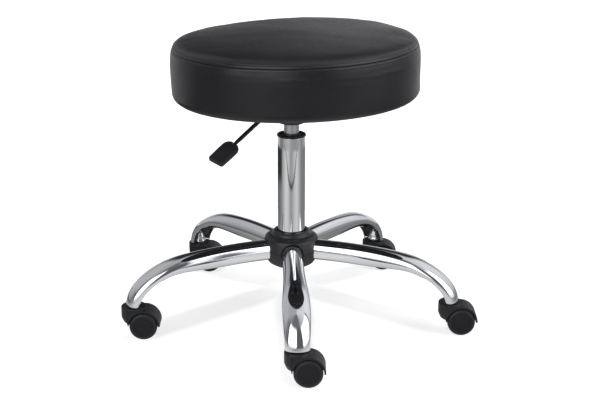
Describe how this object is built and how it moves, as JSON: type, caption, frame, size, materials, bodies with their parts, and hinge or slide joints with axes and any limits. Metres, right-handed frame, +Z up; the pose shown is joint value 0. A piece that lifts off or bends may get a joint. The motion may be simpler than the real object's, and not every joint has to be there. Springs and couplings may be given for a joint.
{
  "type": "pedicure stool",
  "caption": "Round padded salon stool on a gas lift with a side release lever, chromed star base with down-turned arms and hooded twin-wheel casters.",
  "frame": {"origin": "on the floor, at the middle of the bounding box; the vertical axis of the lift column stands at x -16.4 mm, y 24.9 mm", "axes": "+Z up along the lift column, -Y towards the viewer of the reference view with one base arm near it, +X to the right; all casters trail towards +X at rest"},
  "size_m": [0.6402, 0.5966, 0.535],
  "materials": {
    "black_vinyl": "satin",
    "seat_foam": "matte",
    "plywood": "matte",
    "dust_cloth": "matte",
    "black_steel": "satin",
    "zinc_steel": "satin",
    "chrome_tube": "polished",
    "chrome_arm": "polished",
    "cylinder_steel": "satin",
    "black_plastic": "matte",
    "hub_plastic": "satin",
    "caster_nylon": "satin",
    "wheel_nylon": "satin"
  },
  "bodies": {
    "base": {"lift_outer_tube": "chrome_tube", "lift_guide_bush": "black_plastic", "lift_thrust_bearing": "cylinder_steel", "hub_core": "black_steel", "hub_top_cover": "hub_plastic", "hub_bottom_cover": "hub_plastic", "arm_1": "chrome_arm", "arm_2": "chrome_arm", "arm_3": "chrome_arm", "arm_4": "chrome_arm", "arm_5": "chrome_arm", "caster_socket_1": "zinc_steel", "caster_socket_2": "zinc_steel", "caster_socket_3": "zinc_steel", "caster_socket_4": "zinc_steel", "caster_socket_5": "zinc_steel"},
    "lift_rod": {"lift_piston_rod": "cylinder_steel", "lift_retaining_clip": "zinc_steel"},
    "seat": {"lift_inner_cylinder": "cylinder_steel", "lift_socket": "black_plastic", "lever_pin": "zinc_steel", "seat_plate": "black_steel", "seat_board": "plywood", "seat_foam": "seat_foam", "seat_cover": "black_vinyl", "seat_bottom_cloth": "dust_cloth", "seat_bolt_1": "zinc_steel", "seat_bolt_2": "zinc_steel", "seat_bolt_3": "zinc_steel", "seat_bolt_4": "zinc_steel"},
    "lever": {"lever_rod": "black_steel", "lever_paddle": "black_plastic"},
    "button": {"lift_button": "cylinder_steel"},
    "caster_1": {"caster_hood_1": "caster_nylon", "caster_stem_1": "zinc_steel", "caster_axle_1": "zinc_steel"},
    "wheel_1_a": {"wheel_1_a": "wheel_nylon"},
    "wheel_1_b": {"wheel_1_b": "wheel_nylon"},
    "caster_2": {"caster_hood_2": "caster_nylon", "caster_stem_2": "zinc_steel", "caster_axle_2": "zinc_steel"},
    "wheel_2_a": {"wheel_2_a": "wheel_nylon"},
    "wheel_2_b": {"wheel_2_b": "wheel_nylon"},
    "caster_3": {"caster_hood_3": "caster_nylon", "caster_stem_3": "zinc_steel", "caster_axle_3": "zinc_steel"},
    "wheel_3_a": {"wheel_3_a": "wheel_nylon"},
    "wheel_3_b": {"wheel_3_b": "wheel_nylon"},
    "caster_4": {"caster_hood_4": "caster_nylon", "caster_stem_4": "zinc_steel", "caster_axle_4": "zinc_steel"},
    "wheel_4_a": {"wheel_4_a": "wheel_nylon"},
    "wheel_4_b": {"wheel_4_b": "wheel_nylon"},
    "caster_5": {"caster_hood_5": "caster_nylon", "caster_stem_5": "zinc_steel", "caster_axle_5": "zinc_steel"},
    "wheel_5_a": {"wheel_5_a": "wheel_nylon"},
    "wheel_5_b": {"wheel_5_b": "wheel_nylon"}
  },
  "joints": [
    {"name": "lift_spin", "type": "hinge", "parent": "base", "child": "lift_rod", "pos_m": [-0.01644, 0.02493, 0.11], "axis": [0, 0, 1], "continuous": true},
    {"name": "lift_height", "type": "slide", "parent": "lift_rod", "child": "seat", "axis": [0, 0, 1], "range_m": [0, 0.13]},
    {"name": "lever_tilt", "type": "hinge", "parent": "seat", "child": "lever", "pos_m": [-0.03058, 0.01079, 0.419], "axis": [-0.7071, 0.7071, 0], "range_deg": [0, 8]},
    {"name": "button_press", "type": "slide", "parent": "seat", "child": "button", "axis": [0, 0, -1], "range_m": [0, 0.0035]},
    {"name": "swivel_caster_1", "type": "hinge", "parent": "base", "child": "caster_1", "pos_m": [-0.00387, -0.27481, 0.05], "axis": [0, 0, 1], "continuous": true},
    {"name": "swivel_caster_2", "type": "hinge", "parent": "base", "child": "caster_2", "pos_m": [0.27251, -0.05575, 0.05], "axis": [0, 0, 1], "continuous": true},
    {"name": "swivel_caster_3", "type": "hinge", "parent": "base", "child": "caster_3", "pos_m": [0.14958, 0.27481, 0.05], "axis": [0, 0, 1], "continuous": true},
    {"name": "swivel_caster_4", "type": "hinge", "parent": "base", "child": "caster_4", "pos_m": [-0.20278, 0.26004, 0.05], "axis": [0, 0, 1], "continuous": true},
    {"name": "swivel_caster_5", "type": "hinge", "parent": "base", "child": "caster_5", "pos_m": [-0.29762, -0.07964, 0.05], "axis": [0, 0, 1], "continuous": true},
    {"name": "wheel_1_a_roll", "type": "hinge", "parent": "caster_1", "child": "wheel_1_a", "pos_m": [0.01413, -0.27481, 0.025], "axis": [0, 1, 0], "continuous": true},
    {"name": "wheel_1_b_roll", "type": "hinge", "parent": "caster_1", "child": "wheel_1_b", "pos_m": [0.01413, -0.27481, 0.025], "axis": [0, 1, 0], "continuous": true},
    {"name": "wheel_2_a_roll", "type": "hinge", "parent": "caster_2", "child": "wheel_2_a", "pos_m": [0.29051, -0.05575, 0.025], "axis": [0, 1, 0], "continuous": true},
    {"name": "wheel_2_b_roll", "type": "hinge", "parent": "caster_2", "child": "wheel_2_b", "pos_m": [0.29051, -0.05575, 0.025], "axis": [0, 1, 0], "continuous": true},
    {"name": "wheel_3_a_roll", "type": "hinge", "parent": "caster_3", "child": "wheel_3_a", "pos_m": [0.16758, 0.27481, 0.025], "axis": [0, 1, 0], "continuous": true},
    {"name": "wheel_3_b_roll", "type": "hinge", "parent": "caster_3", "child": "wheel_3_b", "pos_m": [0.16758, 0.27481, 0.025], "axis": [0, 1, 0], "continuous": true},
    {"name": "wheel_4_a_roll", "type": "hinge", "parent": "caster_4", "child": "wheel_4_a", "pos_m": [-0.18478, 0.26004, 0.025], "axis": [0, 1, 0], "continuous": true},
    {"name": "wheel_4_b_roll", "type": "hinge", "parent": "caster_4", "child": "wheel_4_b", "pos_m": [-0.18478, 0.26004, 0.025], "axis": [0, 1, 0], "continuous": true},
    {"name": "wheel_5_a_roll", "type": "hinge", "parent": "caster_5", "child": "wheel_5_a", "pos_m": [-0.27962, -0.07964, 0.025], "axis": [0, 1, 0], "continuous": true},
    {"name": "wheel_5_b_roll", "type": "hinge", "parent": "caster_5", "child": "wheel_5_b", "pos_m": [-0.27962, -0.07964, 0.025], "axis": [0, 1, 0], "continuous": true}
  ],
  "couplings": [
    {"joint": "button_press", "follows": "lever_tilt", "m_per_rad": 0.02}
  ]
}
